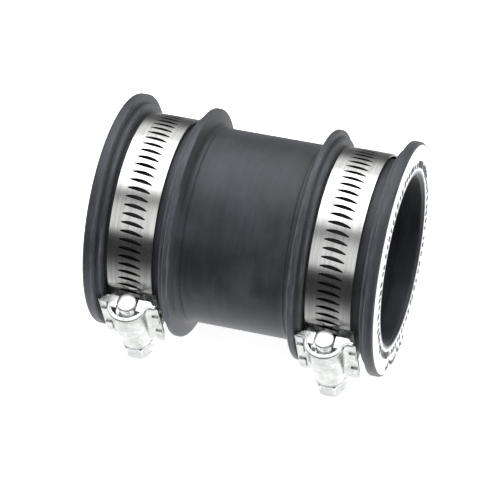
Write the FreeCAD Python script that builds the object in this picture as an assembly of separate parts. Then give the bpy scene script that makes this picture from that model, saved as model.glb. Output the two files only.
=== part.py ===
# Flexible pipe coupling: rubber sleeve with two perforated-band worm-drive clamps.
# Millimetres. Origin at the centre of the bore, pipe axis along X, +Z up.
# The coupling lies on its side with the screw heads low on the -Y side.
import math
import os

import FreeCAD
import Part

# ---- sleeve -------------------------------------------------------------
SLEEVE_LENGTH = 82.3
BORE_RADIUS = 23.5
LAND_LENGTH = 5.8            # full-bore sealing land at each mouth
RELIEF_DEPTH = 0.5           # relief between the two lands
RELIEF_LEAD = 0.5            # axial length of the relief shoulder
MOUTH_CHAMFER = 0.8
BODY_RADIUS = 27.55          # plain middle of the sleeve
FLANGE_RADIUS = 33.0         # tall end flange
FLANGE_WIDTH = 2.9
RIB_RADIUS = 32.5            # tall rib on the body side of each clamp seat
RIB_WIDTH = 1.7
LIP_RADIUS = 30.5            # low lip on the clamp side of flange and rib
RIB_LIP_WIDTH = 1.55
SEAT_RADIUS = 27.0           # clamp seat
SEAT_INNER = 20.1            # seat wall nearer the middle
SEAT_OUTER = 36.7            # seat wall nearer the mouth
LEFT_CLAMP_X = -29.0         # each clamp sits a little to the left in its seat
RIGHT_CLAMP_X = 27.4
RIB_SKIRT = 1.6              # concave skirt from rib to body
RIB_DRAFT = 0.75

# ---- perforated band ----------------------------------------------------
BAND_WIDTH = 12.7
BAND_THICKNESS = 0.62
STRAP_INNER = 27.06          # inner radius of the fixed end, on the seat
FREE_INNER = 27.76           # inner radius of the free layer, over the saddle
SLOTS_PER_TURN = 74
SLOT_LENGTH = 6.6
SLOT_RISE = 0.64             # bulge of the rounded edge, away from the housing
SLOT_DROP = 0.46             # depth of the flatter edge
SLOT_TIP = 0.22              # offset of the two slot tips
SLOT_TIP_RADIUS = 0.2
SLOT_SLANT = 7.0             # degrees, follows the screw thread
STRAP_END = 36.0             # angles measured from the screw, head side positive
TAIL_END = 44.0
JOGGLE_START = 46.0
JOGGLE_END = 60.0
LAST_SLOT_TAIL = 7           # slots on the head side of the screw
LAST_SLOT_LOOP = 50          # slots on the tip side of the screw
TAIL_CORNER = 3.0
JOGGLE_STEPS = 8

# ---- worm screw ---------------------------------------------------------
THREAD_PITCH = 2.4
THREAD_RADIUS = 3.7
THREAD_ROOT = 2.6
THREAD_CREST_HALF = 0.225
THREAD_ROOT_HALF = 0.5
THREAD_SUNK = 0.4            # ridge runs this far into the core
THREAD_REACH = 27.85         # closest approach of the thread to the bore axis
SCREW_RADIUS_AT = THREAD_REACH + THREAD_RADIUS   # screw axis to bore axis
TIP_RADIUS = 2.55
TIP_AT = -4.9                # along the screw, tip side negative
THREAD_START = -2.5
THREAD_STOP = 10.6
NECK_RADIUS = 3.15
NECK_START = 10.6
COLLAR_RADIUS = 4.35
COLLAR_START = 14.45
COLLAR_LENGTH = 0.9
HEAD_START = 15.35
HEAD_END = 20.3
HEAD_FLATS = 7.94            # 5/16 in across flats
HEAD_CHAMFER = 0.55
HEAD_TURN = 0.0              # degrees, how far the hexagon is turned
DRIVER_SLOT_WIDTH = 1.2
DRIVER_SLOT_DEPTH = 2.2
TIP_CHAMFER = 0.45

# ---- stamped housing ----------------------------------------------------
SHEET = 0.75
HOUSING_FRONT = -4.1
HOUSING_REAR = 14.2
FOOT_HALF_WIDTH = 8.6
FOOT_TOP = -0.2              # from the screw axis
ARCH_RADIUS = 3.8            # inner radius of the barrel
MOUTH_RADIUS = 4.45
REAR_RADIUS = 3.45
MOUTH_FLARE = 1.2
REAR_NECK = 2.8
FOOT_FILLET = 1.5
FOOT_CORNER = 1.0
CHEEK_FRONT = -4.1
CHEEK_REAR = -3.35
CHEEK_BORE = 2.85
CHEEK_TOP = 1.6
CHEEK_BASE = -1.95
CHEEK_HALF_WIDTH = 7.0
CHEEK_CORNER = 1.3
WINDOW_CENTRES = (2.6, 10.4)
WINDOW_LENGTH = 4.4
WINDOW_INNER = 6.3
WINDOW_OUTER = 7.1

# ---- saddle -------------------------------------------------------------
SADDLE_SHEET = 0.62
SADDLE_INNER = 27.06
SADDLE_FRONT_ANGLE = -8.0
SADDLE_REAR_ANGLE = 25.5
SADDLE_HALF_WIDTH = 6.95
LUG_THICKNESS = 0.5
LUG_INNER = 6.45
LUG_LENGTH = 3.6
LUG_FOLD = 8.3
LUG_GAP = 0.02

# ---- attitude on the table ----------------------------------------------
# degrees of each screw below horizontal, on the -Y side
LEFT_SCREW_DROP = 23.9
RIGHT_SCREW_DROP = 22.7

X_AXIS = FreeCAD.Vector(1, 0, 0)
Z_AXIS = FreeCAD.Vector(0, 0, 1)
SCREW_AXIS = FreeCAD.Vector(0, -1, 0)   # tip to head while the clamp is upright
ORIGIN = FreeCAD.Vector(0, 0, 0)


def vec(x, y, z):
    return FreeCAD.Vector(x, y, z)


def rounded_wire(points):
    """Closed wire through points (vector, corner radius), corners replaced by arcs."""
    starts = []
    ends = []
    mids = []
    count = len(points)
    for i in range(count):
        corner, radius = points[i]
        if radius <= 0:
            starts.append(corner)
            ends.append(corner)
            mids.append(None)
            continue
        to_prev = (points[i - 1][0] - corner).normalize()
        to_next = (points[(i + 1) % count][0] - corner).normalize()
        half = to_prev.getAngle(to_next) / 2.0
        setback = radius / math.tan(half)
        bisector = (to_prev + to_next).normalize()
        centre = corner + bisector * (radius / math.sin(half))
        starts.append(corner + to_prev * setback)
        ends.append(corner + to_next * setback)
        mids.append(centre - bisector * radius)
    edges = []
    for i in range(count):
        if mids[i] is not None:
            edges.append(Part.Arc(starts[i], mids[i], ends[i]).toShape())
        following = starts[(i + 1) % count]
        if (following - ends[i]).Length > 1e-6:
            edges.append(Part.makeLine(ends[i], following))
    return Part.Wire(edges)


def revolve_about_x(profile):
    """Solid of revolution about X from (x, radius, corner radius) triples."""
    wire = rounded_wire([(vec(x, 0, r), fillet) for x, r, fillet in profile])
    return Part.Face(wire).revolve(ORIGIN, X_AXIS, 360)


def rubber_sleeve():
    half = SLEEVE_LENGTH / 2.0
    flange_in = half - FLANGE_WIDTH
    rib_out = SEAT_INNER - RIB_LIP_WIDTH
    rib_in = rib_out - RIB_WIDTH
    land_in = half - LAND_LENGTH
    relief = BORE_RADIUS + RELIEF_DEPTH
    outer = [
        (half, BORE_RADIUS + MOUTH_CHAMFER, 0),
        (half, FLANGE_RADIUS, 0.9),
        (flange_in, FLANGE_RADIUS, 0.45),
        (flange_in, LIP_RADIUS, 0.3),
        (SEAT_OUTER, LIP_RADIUS, 0.3),
        (SEAT_OUTER, SEAT_RADIUS, 0.3),
        (SEAT_INNER, SEAT_RADIUS, 0.3),
        (SEAT_INNER, LIP_RADIUS, 0.4),
        (rib_out, LIP_RADIUS, 0.4),
        (rib_out, RIB_RADIUS, 0.5),
        (rib_in, RIB_RADIUS, 0.5),
        (rib_in - RIB_DRAFT, BODY_RADIUS, RIB_SKIRT),
    ]
    inner = [
        (-land_in + RELIEF_LEAD, relief, 0.3),
        (land_in - RELIEF_LEAD, relief, 0.3),
        (land_in, BORE_RADIUS, 0),
        (half - MOUTH_CHAMFER, BORE_RADIUS, 0),
    ]
    mirrored = [(-x, r, f) for x, r, f in reversed(outer)]
    start = [(-half + MOUTH_CHAMFER, BORE_RADIUS, 0), (-land_in, BORE_RADIUS, 0)]
    return revolve_about_x(outer + mirrored + start + inner)


def polar(radius, degrees, x=0.0):
    """Point at an angle from +Z, positive toward the screw head (-Y)."""
    a = math.radians(degrees)
    return vec(x, -radius * math.sin(a), radius * math.cos(a))


def arc(radius, first, last, x=0.0):
    middle = (first + last) / 2.0
    return Part.Arc(polar(radius, first, x), polar(radius, middle, x), polar(radius, last, x)).toShape()


def joggle(offset, x):
    """Smooth climb from the strap radius to the free-layer radius."""
    points = []
    for i in range(JOGGLE_STEPS + 1):
        f = i / JOGGLE_STEPS
        ease = f * f * (3.0 - 2.0 * f)
        radius = STRAP_INNER + (FREE_INNER - STRAP_INNER) * ease + offset
        angle = JOGGLE_START + (JOGGLE_END - JOGGLE_START) * f - 360.0
        points.append(polar(radius, angle, x))
    curve = Part.BSplineCurve()
    tangent_in = polar(1.0, JOGGLE_START + 90.0 - 360.0)
    tangent_out = polar(1.0, JOGGLE_END + 90.0 - 360.0)
    curve.interpolate(Points=points, InitialTangent=tangent_in, FinalTangent=tangent_out)
    return curve.toShape()


def slot_cutter(index):
    """Crescent slot: rounded toward the tip side, flatter toward the head side, blunt ends."""
    half = SLOT_LENGTH / 2.0 - SLOT_TIP_RADIUS
    slope = math.tan(math.radians(SLOT_SLANT))

    def at(x, s):
        return vec(x, -(s + slope * x), FREE_INNER - 0.4)

    near = SLOT_TIP - SLOT_TIP_RADIUS
    far = SLOT_TIP + SLOT_TIP_RADIUS
    end = half + SLOT_TIP_RADIUS
    rounded = Part.Arc(at(-half, near), at(0, -SLOT_RISE), at(half, near)).toShape()
    right_end = Part.Arc(at(half, near), at(end, SLOT_TIP), at(half, far)).toShape()
    left_end = Part.Arc(at(-half, far), at(-end, SLOT_TIP), at(-half, near)).toShape()
    side = half * 0.5
    flat = Part.BezierCurve()
    flat.setPoles([at(half, far), at(side, SLOT_DROP + 0.02), at(-side, SLOT_DROP + 0.02), at(-half, far)])
    wire = Part.Wire([rounded, right_end, flat.toShape(), left_end])
    prism = Part.Face(wire).extrude(vec(0, 0, 1.6))
    prism.rotate(ORIGIN, X_AXIS, index * 360.0 / SLOTS_PER_TURN)
    return prism


def clamp_band():
    half = BAND_WIDTH / 2.0
    x = -half
    strap = STRAP_END - 360.0
    climb = JOGGLE_START - 360.0
    free = JOGGLE_END - 360.0
    t = BAND_THICKNESS
    edges = [
        arc(STRAP_INNER, strap, climb, x),
        joggle(0.0, x),
        arc(FREE_INNER, free, TAIL_END, x),
        Part.makeLine(polar(FREE_INNER, TAIL_END, x), polar(FREE_INNER + t, TAIL_END, x)),
        arc(FREE_INNER + t, free, TAIL_END, x),
        joggle(t, x),
        arc(STRAP_INNER + t, strap, climb, x),
        Part.makeLine(polar(STRAP_INNER + t, strap, x), polar(STRAP_INNER, strap, x)),
    ]
    wire = Part.Wire(Part.__sortEdges__(edges))
    band = Part.Face(wire).extrude(vec(BAND_WIDTH, 0, 0))
    middle = polar(FREE_INNER + t / 2.0, TAIL_END)
    corners = []
    for edge in band.Edges:
        centre = edge.CenterOfMass
        across = vec(0, centre.y - middle.y, centre.z - middle.z).Length
        if across < 0.05 and edge.Length < 2 * t:
            corners.append(edge)
    band = band.makeFillet(TAIL_CORNER, corners)
    cutters = [slot_cutter(k) for k in range(-LAST_SLOT_LOOP, LAST_SLOT_TAIL + 1)]
    return band.cut(Part.makeCompound(cutters))


def along(x, w, t):
    """Point in the upright clamp: w above the screw axis, t along it toward the head."""
    return vec(x, -t, SCREW_RADIUS_AT + w)


def shaft(radius, first, last):
    """Plain cylinder along Z, the screw's own axis while it is being made."""
    return Part.makeCylinder(radius, last - first, vec(0, 0, first))


def chamfered(radius, first, last, first_chamfer, last_chamfer):
    """Cylinder along Z with cone chamfers at its ends."""
    wire = Part.makePolygon([
        vec(0, 0, first),
        vec(radius - first_chamfer, 0, first),
        vec(radius, 0, first + first_chamfer),
        vec(radius, 0, last - last_chamfer),
        vec(radius - last_chamfer, 0, last),
        vec(0, 0, last),
        vec(0, 0, first),
    ])
    return Part.Face(wire).revolve(ORIGIN, Z_AXIS, 360)


def thread():
    """Right-hand trapezoid thread, centred on the band slot below the axis at t = 0."""
    turns_before = math.ceil(-THREAD_START / THREAD_PITCH) + 1
    first = -turns_before * THREAD_PITCH
    flank = (THREAD_ROOT_HALF - THREAD_CREST_HALF) / (THREAD_RADIUS - THREAD_ROOT)
    low = THREAD_ROOT - THREAD_SUNK
    low_half = THREAD_ROOT_HALF + flank * THREAD_SUNK
    high = THREAD_RADIUS + THREAD_SUNK
    high_half = THREAD_CREST_HALF - flank * THREAD_SUNK
    helix = Part.makeHelix(THREAD_PITCH, THREAD_STOP + THREAD_PITCH - first, low)
    profile = Part.makePolygon([
        vec(low, 0, -low_half),
        vec(high, 0, -high_half),
        vec(high, 0, high_half),
        vec(low, 0, low_half),
        vec(low, 0, -low_half),
    ])
    ridge = Part.Wire(helix).makePipeShell([profile], True, True)
    ridge.translate(vec(0, 0, first))
    ridge.rotate(ORIGIN, Z_AXIS, -90)
    envelope = chamfered(THREAD_RADIUS, THREAD_START - 0.6, THREAD_STOP + 0.6, 0.9, 0.6)
    return ridge.common(envelope)


def hex_head():
    corner = HEAD_FLATS / math.sqrt(3.0)
    points = []
    for k in range(7):
        a = math.radians(60.0 * k + HEAD_TURN)
        points.append(vec(corner * math.cos(a), corner * math.sin(a), HEAD_START - 0.2))
    head = Part.Face(Part.makePolygon(points)).extrude(vec(0, 0, HEAD_END - HEAD_START + 0.2))
    crown = chamfered(corner + 0.05, HEAD_START - 1.0, HEAD_END, 0.0, HEAD_CHAMFER)
    groove = Part.makeBox(
        2 * corner + 2, DRIVER_SLOT_WIDTH, DRIVER_SLOT_DEPTH + 1,
        vec(-corner - 1, -DRIVER_SLOT_WIDTH / 2.0, HEAD_END - DRIVER_SLOT_DEPTH))
    groove.rotate(ORIGIN, Z_AXIS, HEAD_TURN)
    return head.common(crown).cut(groove)


def clamp_screw():
    core = shaft(THREAD_ROOT, THREAD_START - 0.6, THREAD_STOP + 0.5)
    tip = chamfered(TIP_RADIUS, TIP_AT, THREAD_START, TIP_CHAMFER, 0.0)
    neck = shaft(NECK_RADIUS, NECK_START, COLLAR_START + 0.2)
    collar = chamfered(COLLAR_RADIUS, COLLAR_START, COLLAR_START + COLLAR_LENGTH, 0.2, 0.2)
    screw = core.fuse(thread()).fuse([tip, neck, collar, hex_head()]).removeSplitter()
    screw.rotate(ORIGIN, X_AXIS, 90)
    screw.translate(vec(0, 0, SCREW_RADIUS_AT))
    return screw


def omega_wire(radius, t):
    """Stamped section across the screw: arch, legs, filleted feet."""
    top = FOOT_TOP
    under = FOOT_TOP - SHEET
    outer = radius + SHEET
    fo = FOOT_FILLET
    fi = FOOT_FILLET + SHEET
    k = 1.0 - math.sqrt(0.5)
    foot = FOOT_HALF_WIDTH

    def p(x, w):
        return along(x, w, t)

    edges = [
        Part.makeLine(p(-foot, top), p(-outer - fo, top)),
        Part.Arc(p(-outer - fo, top), p(-outer - fo * k, top + fo * k), p(-outer, top + fo)).toShape(),
        Part.Arc(p(-outer, top + fo), p(0, outer), p(outer, top + fo)).toShape(),
        Part.Arc(p(outer, top + fo), p(outer + fo * k, top + fo * k), p(outer + fo, top)).toShape(),
        Part.makeLine(p(outer + fo, top), p(foot, top)),
        Part.makeLine(p(foot, top), p(foot, under)),
        Part.makeLine(p(foot, under), p(radius + fi, under)),
        Part.Arc(p(radius + fi, under), p(radius + fi * k, under + fi * k), p(radius, under + fi)).toShape(),
        Part.Arc(p(radius, under + fi), p(0, radius), p(-radius, under + fi)).toShape(),
        Part.Arc(
            p(-radius, under + fi), p(-radius - fi * k, under + fi * k), p(-radius - fi, under)).toShape(),
        Part.makeLine(p(-radius - fi, under), p(-foot, under)),
        Part.makeLine(p(-foot, under), p(-foot, top)),
    ]
    return Part.Wire(edges)


def clamp_housing():
    stations = [
        (MOUTH_RADIUS, HOUSING_FRONT),
        (ARCH_RADIUS, HOUSING_FRONT + MOUTH_FLARE),
        (ARCH_RADIUS, HOUSING_REAR - REAR_NECK),
        (REAR_RADIUS, HOUSING_REAR),
    ]
    spans = []
    for (r0, t0), (r1, t1) in zip(stations, stations[1:]):
        spans.append(Part.makeLoft([omega_wire(r0, t0), omega_wire(r1, t1)], True, True))
    body = spans[0].fuse(spans[1:] + [mouth_cheeks()]).removeSplitter()
    corners = []
    for edge in body.Edges:
        at_side = abs(abs(edge.CenterOfMass.x) - FOOT_HALF_WIDTH) < 0.01
        if at_side and abs(edge.Length - SHEET) < 0.01:
            corners.append(edge)
    body = body.makeFillet(FOOT_CORNER, corners)
    depth = SHEET + 1.0
    windows = []
    for side in (-1, 1):
        for centre in WINDOW_CENTRES:
            near = min(side * WINDOW_INNER, side * WINDOW_OUTER)
            corner = along(near, FOOT_TOP - SHEET - 0.5, centre + WINDOW_LENGTH / 2.0)
            windows.append(Part.makeBox(WINDOW_OUTER - WINDOW_INNER, WINDOW_LENGTH, depth, corner))
    return body.cut(Part.makeCompound(windows))


def saddle_lug(side, centre):
    """One lug: leg up through the housing window, folded outward over the foot."""
    x0 = min(side * LUG_INNER, side * (LUG_INNER + LUG_THICKNESS))
    back = centre + LUG_LENGTH / 2.0
    top = FOOT_TOP + LUG_GAP + LUG_THICKNESS
    base = SADDLE_INNER + SADDLE_SHEET / 2.0
    reach = math.asin(back / base) if back > 0 else 0.0
    bottom = base * math.cos(reach) - SCREW_RADIUS_AT - 0.25
    leg = Part.makeBox(LUG_THICKNESS, LUG_LENGTH, top - bottom, along(x0, bottom, back))
    fold_x = min(side * LUG_INNER, side * LUG_FOLD)
    fold_base = along(fold_x, top - LUG_THICKNESS, back)
    fold = Part.makeBox(LUG_FOLD - LUG_INNER, LUG_LENGTH, LUG_THICKNESS, fold_base)
    return [leg, fold]


def mouth_cheeks():
    """Rounded shoulders pressed in either side of the screw tip at the mouth."""
    wide = CHEEK_HALF_WIDTH
    under = FOOT_TOP - SHEET / 2.0
    wall = MOUTH_RADIUS + 0.3
    points = [
        (along(-wide, CHEEK_BASE, CHEEK_FRONT), CHEEK_CORNER),
        (along(wide, CHEEK_BASE, CHEEK_FRONT), CHEEK_CORNER),
        (along(wide, under, CHEEK_FRONT), 0.0),
        (along(wall, CHEEK_TOP, CHEEK_FRONT), 0.0),
        (along(-wall, CHEEK_TOP, CHEEK_FRONT), 0.0),
        (along(-wide, under, CHEEK_FRONT), 0.0),
    ]
    plate = Part.Face(rounded_wire(points)).extrude(SCREW_AXIS * (CHEEK_REAR - CHEEK_FRONT))
    reach = CHEEK_REAR - CHEEK_FRONT + 2
    front = CHEEK_FRONT - 1
    bore = Part.makeCylinder(CHEEK_BORE, reach, along(0, 0, front), SCREW_AXIS)
    throat = Part.makeBox(2 * CHEEK_BORE, reach, 4.0, along(-CHEEK_BORE, -4.0, front + reach))
    crown = Part.makeBox(2 * CHEEK_BORE, reach, CHEEK_TOP + 1, along(-CHEEK_BORE, 0, front + reach))
    return plate.cut(bore.fuse([throat, crown]))


def clamp_saddle():
    edges = [
        arc(SADDLE_INNER, SADDLE_FRONT_ANGLE, SADDLE_REAR_ANGLE, -SADDLE_HALF_WIDTH),
        Part.makeLine(polar(SADDLE_INNER, SADDLE_REAR_ANGLE, -SADDLE_HALF_WIDTH),
                      polar(SADDLE_INNER + SADDLE_SHEET, SADDLE_REAR_ANGLE, -SADDLE_HALF_WIDTH)),
        arc(SADDLE_INNER + SADDLE_SHEET, SADDLE_FRONT_ANGLE, SADDLE_REAR_ANGLE, -SADDLE_HALF_WIDTH),
        Part.makeLine(polar(SADDLE_INNER + SADDLE_SHEET, SADDLE_FRONT_ANGLE, -SADDLE_HALF_WIDTH),
                      polar(SADDLE_INNER, SADDLE_FRONT_ANGLE, -SADDLE_HALF_WIDTH)),
    ]
    wire = Part.Wire(Part.__sortEdges__(edges))
    base = Part.Face(wire).extrude(vec(2 * SADDLE_HALF_WIDTH, 0, 0))
    pieces = []
    for side in (-1, 1):
        for centre in WINDOW_CENTRES:
            pieces += saddle_lug(side, centre)
    seat = Part.makeCylinder(SADDLE_INNER, 4 * SADDLE_HALF_WIDTH, vec(-2 * SADDLE_HALF_WIDTH, 0, 0), X_AXIS)
    return base.fuse(pieces).cut(seat).removeSplitter()


def place(shape, x, drop):
    """Turn an upright clamp part to its attitude and slide it along the sleeve."""
    placed = shape.copy()
    placed.rotate(ORIGIN, X_AXIS, 90.0 + drop)
    placed.translate(vec(x, 0, 0))
    return placed


def write(name, shape):
    if not shape.isValid():
        raise ValueError(name + " is not a valid solid")
    if len(shape.Solids) != 1:
        raise ValueError(name + " is not one solid")
    shape.Solids[0].exportStep("parts/" + name + ".step")
    box = shape.BoundBox
    print(name, "volume", round(shape.Volume, 1), "z", round(box.ZMin, 3), round(box.ZMax, 3))


os.makedirs("parts", exist_ok=True)
write("rubber_sleeve", rubber_sleeve())
upright = {
    "clamp_band": clamp_band(),
    "clamp_screw": clamp_screw(),
    "clamp_housing": clamp_housing(),
    "clamp_saddle": clamp_saddle(),
}
attitudes = (
    ("left", LEFT_CLAMP_X, LEFT_SCREW_DROP),
    ("right", RIGHT_CLAMP_X, RIGHT_SCREW_DROP),
)
for end, centre, drop in attitudes:
    for part_name, part_shape in upright.items():
        write(part_name + "_" + end, place(part_shape, centre, drop))
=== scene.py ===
"""Rubber pipe coupling with two worm-drive band clamps: looks laid over the CAD frame.

Lengths are in metres, +X runs along the pipe axis and the coupling lies on z = -flange radius.
"""

import math
import bmesh
import bpy
import numpy as np
from bpy.props import FloatProperty, FloatVectorProperty, PointerProperty
from mathutils import Matrix, Vector


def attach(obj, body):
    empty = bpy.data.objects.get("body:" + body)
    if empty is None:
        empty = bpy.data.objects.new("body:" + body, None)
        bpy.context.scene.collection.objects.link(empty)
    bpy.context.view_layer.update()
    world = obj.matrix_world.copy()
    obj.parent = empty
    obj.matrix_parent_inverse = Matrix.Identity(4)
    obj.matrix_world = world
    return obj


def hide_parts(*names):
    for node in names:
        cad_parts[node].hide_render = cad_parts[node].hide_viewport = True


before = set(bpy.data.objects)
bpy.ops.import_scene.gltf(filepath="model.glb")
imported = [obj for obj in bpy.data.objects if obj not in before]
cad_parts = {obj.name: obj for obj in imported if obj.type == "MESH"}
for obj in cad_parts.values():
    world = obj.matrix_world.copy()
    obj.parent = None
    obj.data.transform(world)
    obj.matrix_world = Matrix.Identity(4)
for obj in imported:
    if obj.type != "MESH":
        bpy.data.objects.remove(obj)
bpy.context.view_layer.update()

bl_info = {
    "name": "Pipe coupling",
    "version": (1, 0, 0),
    "blender": (4, 5, 0),
    "location": "View3D > Sidebar > Coupling",
    "description": "Builds the surfaces, finishes and studio of a rubber pipe coupling",
    "category": "Object",
}

MM = 0.001
ENDS = {"left": -1, "right": 1}

# sleeve section
SKIRT = 0.75 * MM            # reach of the concave skirt at the foot of each tall rib
BEAD_GAP = 2.45 * MM         # from each tall rib to the mould bead on the body
BEAD_HALF = 0.16 * MM
BEAD_HEIGHT = 0.12 * MM
LAND_WIDTH = 5.8 * MM        # sealing land inside each mouth
RELIEF = 0.5 * MM            # depth of the bore between the lands
WEAR_AND_HIGHLIGHT_REACH = 0.5 * MM        # width of the paler zone on a convex edge, which stands for scuffing and a painted highlight
SLEEVE_STEP = 1.6 * MM
SLEEVE_SEGMENTS = 264

# print and marks on the end faces
INK_ROOT = 0.25 * MM         # depth to which the printed ring reaches into the rubber
INK_RISE = 0.03 * MM
INK_MARGIN = 0.08 * MM
INK_STEP = 1.2 * MM
INK_SEGMENTS = 192
DASHES = 68
DASH_RADIUS = 26.75 * MM
BLOCK_RADIUS = 26.8 * MM
BLOCK_HEIGHT = 2.3 * MM
DOT_RADIUS = 30.2 * MM
MARK_ROOT = 0.2 * MM
MARK_RISE = 0.16 * MM
MARK_TAPER = 0.8

# rolled lip of each housing and swaged tip of each screw
FOOT_END = 0.25 * MM         # the lip stops this far short of each foot's end
FOOT_STEPS, FILLET_STEPS, ARCH_STEPS = 6, 9, 42
LIP_SIDES = 14
LIP_TAPER = 40               # a higher power keeps the bar full nearer to its ends
TIP_RINGS, TIP_SIDES = 22, 40


# ---------------------------------------------------------------- colour

def linear(hex_code):
    """Linear RGBA of an sRGB hex colour."""
    value = hex_code.lstrip("#")
    out = []
    for i in (0, 2, 4):
        c = int(value[i:i + 2], 16) / 255.0
        out.append(c / 12.92 if c <= 0.04045 else ((c + 0.055) / 1.055) ** 2.4)
    return (*out, 1.0)


# ---------------------------------------------------------------- node trees

MATH = "ShaderNodeMath"
MIX = "ShaderNodeMix"
NOISE = "ShaderNodeTexNoise"
RAMP = "ShaderNodeValToRGB"
BUMP = "ShaderNodeBump"
# a colour mix reads its factor from socket 0 and its colours from 6 and 7, and gives them on output 2
COLOUR_MIX = {"output": 2, "data_type": "RGBA"}


def add_node(tree, kind, inputs=None, output=0, stops=(), **settings):
    """One node with its settings and links; gives back one of its outputs.

    inputs maps a socket to a value or to another node's output. stops are the
    (position, grey or colour) pairs of a colour ramp.
    """
    node = tree.nodes.new(kind)
    for name, value in settings.items():
        setattr(node, name, value)
    for socket, value in (inputs or {}).items():
        target = node.inputs[socket]
        if isinstance(value, bpy.types.NodeSocket):
            tree.links.new(value, target)
        else:
            target.default_value = value
    elements = node.color_ramp.elements if stops else ()
    while len(elements) < len(stops):
        elements.new(0.5)
    for element, (position, value) in zip(elements, stops):
        element.position = position
        element.color = value if isinstance(value, tuple) else (value, value, value, 1.0)
    return node.outputs[output] if len(node.outputs) else None


def pipe_coordinates(tree, around=1.0):
    """Object coordinates with Y and Z multiplied, so that a pattern runs round the pipe."""
    place = add_node(tree, "ShaderNodeTexCoord", output="Object")
    return add_node(tree, "ShaderNodeMapping", {"Vector": place, "Scale": (1.0, around, around)})


def new_material(name):
    """Empty material and its node tree."""
    material = bpy.data.materials.new(name)
    material.use_nodes = True
    material.node_tree.nodes.clear()
    return material, material.node_tree


def finish_material(material, inputs):
    """Principled shader on the material's output; constants stand on the shader's own sockets."""
    shader = add_node(material.node_tree, "ShaderNodeBsdfPrincipled", inputs)
    add_node(material.node_tree, "ShaderNodeOutputMaterial", {"Surface": shader})
    return material


def rgba(colour):
    """Opaque colour of a three-part property."""
    return (*colour, 1.0)


# ---------------------------------------------------------------- materials

def moulded_epdm(settings):
    """EPDM rubber, compression moulded: charcoal, satin skin with a fine matt grain.

    The skin gives a soft broad highlight with a cool cast. Flow lines run round the
    moulding, talc sits in faint patches, and the tall edges are painted paler, partly as
    scuffing and partly as a painted highlight along them. Handling leaves small pale rub marks.
    """
    material, tree = new_material("epdm_rubber_moulded")
    plain = pipe_coordinates(tree)
    # talc lies in 14 mm patches
    patches = add_node(
        tree, NOISE, {"Vector": plain, "Scale": 0.07 / MM, "Detail": 4.0, "Roughness": 0.6})
    # flow lines are 2 mm wide and about 12 mm long
    flow = add_node(
        tree, NOISE,
        {"Vector": pipe_coordinates(tree, 0.16), "Scale": 0.52 / MM, "Detail": 3.0, "Roughness": 0.6})
    # the mould's own texture, about 0.05 mm, is too fine to show and is drawn at 0.24 mm
    grain = add_node(
        tree, NOISE, {"Vector": plain, "Scale": 4.2 / MM, "Detail": 2.0, "Roughness": 0.5})
    # rub marks are 0.6 mm wide and about 6 mm long
    rubs = add_node(
        tree, NOISE,
        {"Vector": pipe_coordinates(tree, 0.10), "Scale": 1.8 / MM, "Detail": 5.0, "Roughness": 0.7})

    talc = add_node(tree, RAMP, {"Fac": patches}, stops=((0.44, 0.0), (0.68, 0.6)))
    lines = add_node(tree, RAMP, {"Fac": flow}, stops=((0.45, 0.0), (0.75, 0.3)))
    dust = add_node(tree, MATH, {0: talc, 1: lines}, operation="ADD")
    base, bloom = rgba(settings.rubber_colour), rgba(settings.bloom_colour)
    colour = add_node(tree, MIX, {0: dust, 6: base, 7: bloom}, **COLOUR_MIX)
    # scuffs and a painted highlight, strongest on the convex edges; a few scuff specks elsewhere
    # the edge weight marks scuffing and a painted highlight along the convex edges
    worn = add_node(tree, "ShaderNodeAttribute", output="Fac", attribute_name="edge_wear")
    scuff_and_highlight = add_node(tree, RAMP, {"Fac": rubs}, stops=((0.40, 0.075), (0.66, 0.5)))
    scuff_and_highlight = add_node(tree, MATH, {0: scuff_and_highlight, 1: worn}, operation="MULTIPLY")
    speck = add_node(tree, RAMP, {"Fac": rubs}, stops=((0.69, 0.0), (0.78, 0.35)))
    scuff_and_highlight = add_node(tree, MATH, {0: scuff_and_highlight, 1: speck}, operation="MAXIMUM")
    # the pale colour serves the scuffs and the painted edge highlight
    pale = rgba(settings.scuff_and_highlight_colour)
    colour = add_node(tree, MIX, {0: scuff_and_highlight, 6: colour, 7: pale}, **COLOUR_MIX)

    rough = add_node(
        tree, MATH, {0: patches, 1: 0.14, 2: settings.rubber_roughness}, operation="MULTIPLY_ADD")
    rough = add_node(tree, MATH, {0: scuff_and_highlight, 1: 0.1, 2: rough}, operation="MULTIPLY_ADD")
    fine = add_node(tree, BUMP, {"Height": grain, "Distance": 0.06 * MM, "Strength": 0.35})
    normal = add_node(
        tree, BUMP, {"Height": flow, "Distance": 0.12 * MM, "Strength": 0.25, "Normal": fine})
    return finish_material(material, {
        "Base Color": colour, "Roughness": rough, "Normal": normal, "IOR": 1.52,
        "Specular IOR Level": 0.55, "Specular Tint": linear("#eef4ff"),
        "Sheen Weight": 0.18, "Sheen Roughness": 0.4})


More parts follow.
